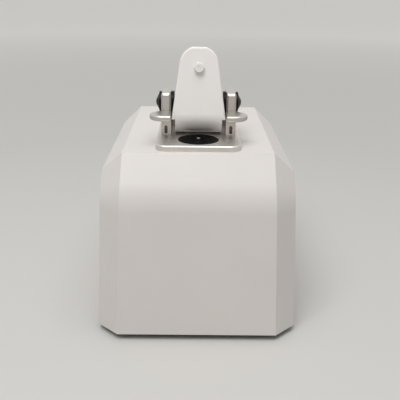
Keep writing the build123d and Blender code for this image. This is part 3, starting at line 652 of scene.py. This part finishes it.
def separate_parts(form):
    """The vertices of each separate part of a bmesh, in the order of the mesh."""
    parts = []
    met = set()
    for first in form.verts:
        if first in met:
            continue
        met.add(first)
        part = [first]
        for vert in part:
            for edge in vert.link_edges:
                other = edge.other_vert(vert)
                if other not in met:
                    met.add(other)
                    part.append(other)
        parts.append(part)
    return parts


def screw_set(node, name, body, facing, size, finish):
    """Screws in place of a CAD node's: the node's own parts give the places and the length."""
    head_radius, head_height, shank_radius = size
    form = whole_form(node)
    seats = []
    for part in separate_parts(form):
        heights = [vert.co.dot(facing) for vert in part]
        top, bottom = max(heights), min(heights)
        crown = [vert.co for vert, height in zip(part, heights) if height > top - CROWN_DEPTH]
        seats.append(sum(crown, Vector()) / len(crown))
    form.free()
    points = bpy.data.meshes.new(name + "_places")
    points.from_pydata(seats, [], [])
    blank = bpy.data.objects.new(name + "_blank", points)
    bpy.context.scene.collection.objects.link(blank)
    standing = blank.modifiers.new("screws", "NODES")
    standing.node_group = socket_screws
    shank_length = top - bottom - head_height
    values = dict(zip(SCREW_SIZES, (head_radius, head_height, shank_radius, shank_length)))
    values["Facing"] = facing.to_track_quat("Z", "Y").to_euler()
    values["Finish"] = finish
    for item in socket_screws.interface.items_tree:
        if item.in_out == "INPUT" and item.name in values:
            standing[item.identifier] = values[item.name]
    bpy.context.view_layer.update()
    made = bpy.data.meshes.new_from_object(blank.evaluated_get(bpy.context.evaluated_depsgraph_get()))
    bpy.data.objects.remove(blank)
    made.name = name
    made.set_sharp_from_angle(angle=SCREW_CREASE)
    as_piece(name, made, body, node)


socket_screws = screw_tree()
zinc_finish = ground_steel("zinc_plated_steel", ZINC_COLOUR, roughness=0.35, along="Z", scratch=0.5)
screw_set("base_screws", "shell_screws", "base", DOWN, M3_SCREW, zinc_finish)
screw_set("bench_screws", "post_screws", "base", DOWN, M3_SCREW, zinc_finish)
screw_set("board_screws", "standoff_screws", "base", DOWN, M3_SCREW, zinc_finish)
screw_set("arm_cover_screws", "cover_screws", "arm", -ARM_OUT, M2_SCREW, zinc_finish)
refinish(zinc_finish, "hinge_screws", "stage_screws", "arm_core_screw")
pin_finish = ground_steel("ground_steel_pin", PIN_COLOUR, roughness=0.25, along="X", scratch=0.5)
refinish(pin_finish, "pivot_pin_left", "pivot_pin_right")


# Sockets in the back: a bright nickel-plated steel shell for data, and a black moulded nylon barrel
# for power. Both are soldered to the board and reach the wall of the shell.
NICKEL_COLOUR = "#C2BDB4"
NYLON_COLOUR = "#1C1C1E"
NYLON_GRAIN = 0.4 * MM

socket_finish = ground_steel("nickel_plated_shell", NICKEL_COLOUR, roughness=0.22, along="Y", scratch=0.3)
refinish(socket_finish, "usb_socket")
nylon_finish = grained_finish(
    "moulded_black_nylon", NYLON_COLOUR, roughness=0.4, grain=NYLON_GRAIN, depth=0.01 * MM, cloud=0.1
)
refinish(nylon_finish, "power_socket")


# Inside, hidden by the shells: a bench, spectrometer, lamp housing and arm core of sand-cast aluminium,
# grey and pebbly, a glossy green board on turned brass standoffs, a nylon actuator, and a clear glass
# lens and fibre.
CAST_COLOUR = "#9FA1A3"
BRASS_COLOUR = "#C2A25E"
BOARD_COLOUR = "#1E5A3A"
GLASS_COLOUR = "#F4F7F8"
CAST_GRAIN = 0.9 * MM
RESIST_GRAIN = 1.5 * MM
GLASS_HAZE = 3.3 * MM

cast_finish = grained_finish(
    "sand_cast_aluminium",
    CAST_COLOUR,
    roughness=0.45,
    grain=CAST_GRAIN,
    depth=0.06 * MM,
    cloud=0.06,
    nature={"Metallic": 1.0},
)
refinish(cast_finish, "optical_bench", "spectrometer", "spectrometer_cover", "lamp_module", "arm_core")
refinish(nylon_finish, "path_actuator")
brass_finish = ground_steel("turned_brass", BRASS_COLOUR, roughness=0.3, along="Z", scratch=0.5)
refinish(brass_finish, "board_standoffs", "hinge_bush_left", "hinge_bush_right")
board_finish = grained_finish(
    "green_solder_resist", BOARD_COLOUR, roughness=0.3, grain=RESIST_GRAIN, depth=0.02 * MM, cloud=0.12
)
refinish(board_finish, "main_board")
glass, glass_tree, glass_place = new_finish("polished_optical_glass")
haze = add_node(glass_tree, "ShaderNodeTexNoise", {"Scale": 1 / GLASS_HAZE}, {"Vector": glass_place})
clarity = add_node(
    glass_tree, "ShaderNodeMapRange", {"To Min": 0.01, "To Max": 0.05}, {"Value": haze.outputs["Fac"]}
)
close_finish(
    glass_tree,
    {"Base Color": linear(GLASS_COLOUR), "Transmission Weight": 1.0, "IOR": 1.46},
    {"Roughness": clarity.outputs["Result"]},
)
refinish(glass, "lamp_lens", "lower_fibre")
